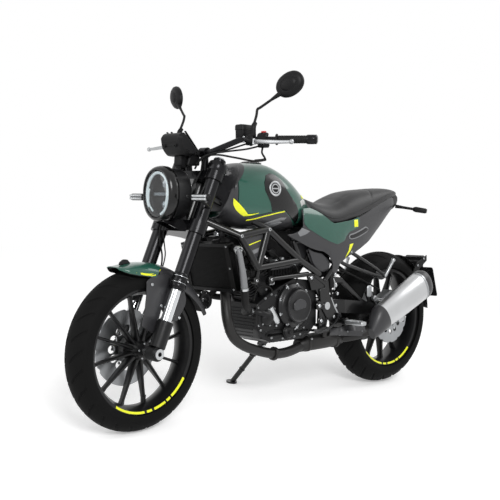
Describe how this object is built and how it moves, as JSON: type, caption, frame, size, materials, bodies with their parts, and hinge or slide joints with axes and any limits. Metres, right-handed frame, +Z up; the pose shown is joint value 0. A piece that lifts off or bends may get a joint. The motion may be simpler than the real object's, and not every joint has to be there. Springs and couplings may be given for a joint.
{
  "type": "roadster motorcycle",
  "caption": "Solo roadster motorcycle of the 250 class, parked leaning on its side stand, with steering, wheels and side stand that move.",
  "frame": {"origin": "on the ground midway between the two axles", "axes": "+X forward along the wheels, +Y to the exhaust side, +Z up; the machine leans 10 degrees about X towards -Y, onto its side stand"},
  "size_m": [2.0318, 0.8803, 1.3421],
  "materials": {
    "green_paint": "gloss",
    "dark_panel": "satin",
    "black_plastic": "moulded",
    "frame_enamel": "gloss",
    "engine_casting": "cast",
    "wheel_casting": "painted",
    "tyre_rubber": "moulded",
    "disc_steel": "ground",
    "fork_anodised": "anodised",
    "fork_chrome": "polished",
    "grip_rubber": "ribbed",
    "exhaust_steel": "heat darkened",
    "silencer_shell": "brushed",
    "silencer_trim": "satin",
    "seat_vinyl": "grained",
    "lamp_glass": "clear",
    "lamp_red": "clear"
  },
  "bodies": {
    "frame_body": {"air_box": "black_plastic", "clutch_cover": "engine_casting", "coolant_hoses": "grip_rubber", "crankcase": "engine_casting", "cylinder": "engine_casting", "drive_chain": "disc_steel", "exhaust_pipe": "exhaust_steel", "foot_rests": "frame_enamel", "frame": "frame_enamel", "fuel_cap": "fork_chrome", "fuel_tank": "green_paint", "generator_cover": "engine_casting", "horn": "black_plastic", "number_plate": "dark_panel", "pillion_rests": "frame_enamel", "radiator": "engine_casting", "rear_axle": "disc_steel", "rear_caliper": "fork_anodised", "rear_guard": "black_plastic", "rear_indicators": "black_plastic", "seat": "seat_vinyl", "shock_absorber": "fork_chrome", "shrouds": "dark_panel", "silencer": "silencer_shell", "silencer_cap": "silencer_trim", "silencer_nose": "silencer_trim", "stand_bolt": "disc_steel", "swingarm": "frame_enamel", "swingarm_pivot": "disc_steel", "tail_lamp": "lamp_red", "tail_panels": "green_paint", "tank_panels": "dark_panel"},
    "steering": {"fork_tubes": "fork_anodised", "fork_sliders": "fork_chrome", "fork_feet": "fork_anodised", "front_axle": "disc_steel", "yokes": "fork_anodised", "handlebar": "fork_anodised", "grips": "grip_rubber", "front_mudguard": "green_paint", "mudguard_stays": "dark_panel", "front_caliper": "fork_anodised", "mirrors": "black_plastic", "hand_controls": "fork_anodised", "instrument": "black_plastic", "headlamp_shell": "black_plastic", "headlamp_lens": "lamp_glass", "front_indicators": "black_plastic", "brake_hose": "grip_rubber"},
    "front_wheel": {"front_rim": "wheel_casting", "front_tyre": "tyre_rubber", "front_disc": "disc_steel"},
    "rear_wheel": {"rear_rim": "wheel_casting", "rear_tyre": "tyre_rubber", "rear_disc": "disc_steel", "rear_sprocket": "disc_steel"},
    "stand": {"side_stand": "frame_enamel"}
  },
  "joints": [
    {"name": "steering_turn", "type": "hinge", "parent": "frame_body", "child": "steering", "pos_m": [0.783, 0, 0.00129], "axis": [-0.3987, -0.1592, 0.9031], "range_deg": [-39, 31]},
    {"name": "front_wheel_spin", "type": "hinge", "parent": "steering", "child": "front_wheel", "pos_m": [0.68993, -0.04869, 0.29009], "axis": [-0.064, 0.9872, 0.1458], "continuous": true},
    {"name": "rear_wheel_spin", "type": "hinge", "parent": "frame_body", "child": "rear_wheel", "pos_m": [-0.69, -0.05312, 0.30254], "axis": [0, 0.9848, 0.1736], "continuous": true},
    {"name": "side_stand_fold", "type": "hinge", "parent": "frame_body", "child": "stand", "pos_m": [-0.04, -0.15545, 0.20337], "axis": [0, 0.8829, -0.4695], "range_deg": [0, 95]}
  ]
}
